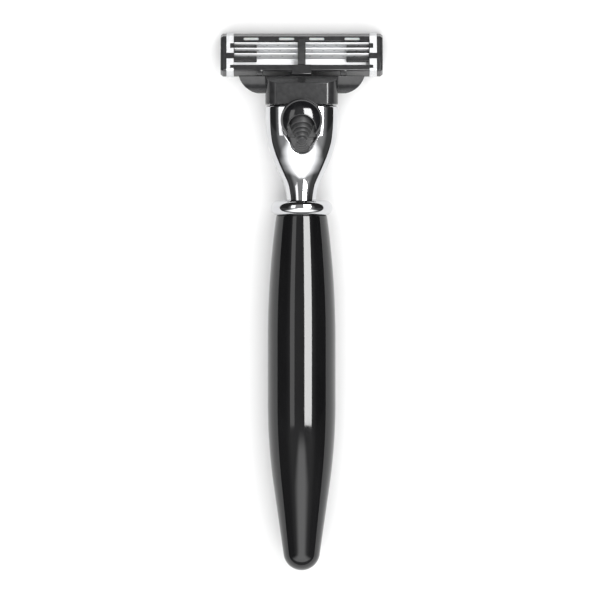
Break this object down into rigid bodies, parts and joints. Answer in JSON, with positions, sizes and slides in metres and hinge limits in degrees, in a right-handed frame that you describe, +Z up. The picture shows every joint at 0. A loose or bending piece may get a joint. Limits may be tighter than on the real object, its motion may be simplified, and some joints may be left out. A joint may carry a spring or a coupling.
{
  "type": "cartridge razor",
  "caption": "Wet-shaving razor with a round resin grip, a chrome neck with a release button, and a pivoting cartridge of blades on a click-fit docking joint.",
  "frame": {"origin": "on the table under the middle of the razor's box", "axes": "+X across the cartridge, +Y from the grip's tail to the cartridge's cap, +Z up from the table, away from the shaving side"},
  "size_m": [0.0416, 0.138, 0.0179],
  "materials": {
    "black_resin": "polished",
    "brass": "machined",
    "steel": "machined",
    "chrome": "polished",
    "black_plastic": "moulded satin",
    "gloss_black_plastic": "polished",
    "soft_black": "moulded matt",
    "strip_white": "satin",
    "fin_black": "moulded matt",
    "blade_steel": "fine ground",
    "support_steel": "rolled strip",
    "clip_aluminium": "rolled strip"
  },
  "bodies": {
    "handle": {"handle_grip": "black_resin", "grip_insert": "brass", "neck_stud": "steel", "collar_ring": "chrome", "neck_casting": "chrome", "docking_post": "black_plastic", "plunger_spring": "steel"},
    "plunger": {"plunger": "black_plastic"},
    "button": {"release_button": "gloss_black_plastic", "thumb_pad": "soft_black"},
    "connector": {"interconnect": "black_plastic"},
    "cartridge": {"blade_housing": "black_plastic", "lubricating_strip": "strip_white", "guard_fins": "fin_black", "left_clip": "clip_aluminium", "right_clip": "clip_aluminium"},
    "blade_1": {"blade_1": "blade_steel", "blade_support_1": "support_steel"},
    "blade_2": {"blade_2": "blade_steel", "blade_support_2": "support_steel"},
    "blade_3": {"blade_3": "blade_steel", "blade_support_3": "support_steel"}
  },
  "joints": [
    {"name": "button_press", "type": "slide", "parent": "handle", "child": "button", "axis": [0, 1, 0], "range_m": [0, 0.003], "stiffness_N_per_m": 600, "springref_m": -0.002},
    {"name": "cartridge_pull_off", "type": "slide", "parent": "button", "child": "connector", "axis": [0, 1, 0], "range_m": [0, 0.006]},
    {"name": "cartridge_pivot", "type": "hinge", "parent": "connector", "child": "cartridge", "pos_m": [0, 0.05881, 0.00372], "axis": [1, 0, 0], "range_deg": [0, 41], "stiffness_Nm_per_rad": 0.02, "springref_deg": -28.65},
    {"name": "plunger_slide", "type": "slide", "parent": "handle", "child": "plunger", "axis": [0, 1, 0], "range_m": [-0.0024, 0], "deforming": ["plunger_spring"]},
    {"name": "blade_1_float", "type": "slide", "parent": "cartridge", "child": "blade_1", "axis": [0, 0.342, 0.9397], "range_m": [0, 0.0003], "stiffness_N_per_m": 1000, "springref_m": -0.0003},
    {"name": "blade_2_float", "type": "slide", "parent": "cartridge", "child": "blade_2", "axis": [0, 0.342, 0.9397], "range_m": [0, 0.0003], "stiffness_N_per_m": 1000, "springref_m": -0.0003},
    {"name": "blade_3_float", "type": "slide", "parent": "cartridge", "child": "blade_3", "axis": [0, 0.342, 0.9397], "range_m": [0, 0.0003], "stiffness_N_per_m": 1000, "springref_m": -0.0003}
  ],
  "couplings": [
    {"joint": "plunger_slide", "follows": "cartridge_pivot", "m_per_rad": -0.0032}
  ]
}
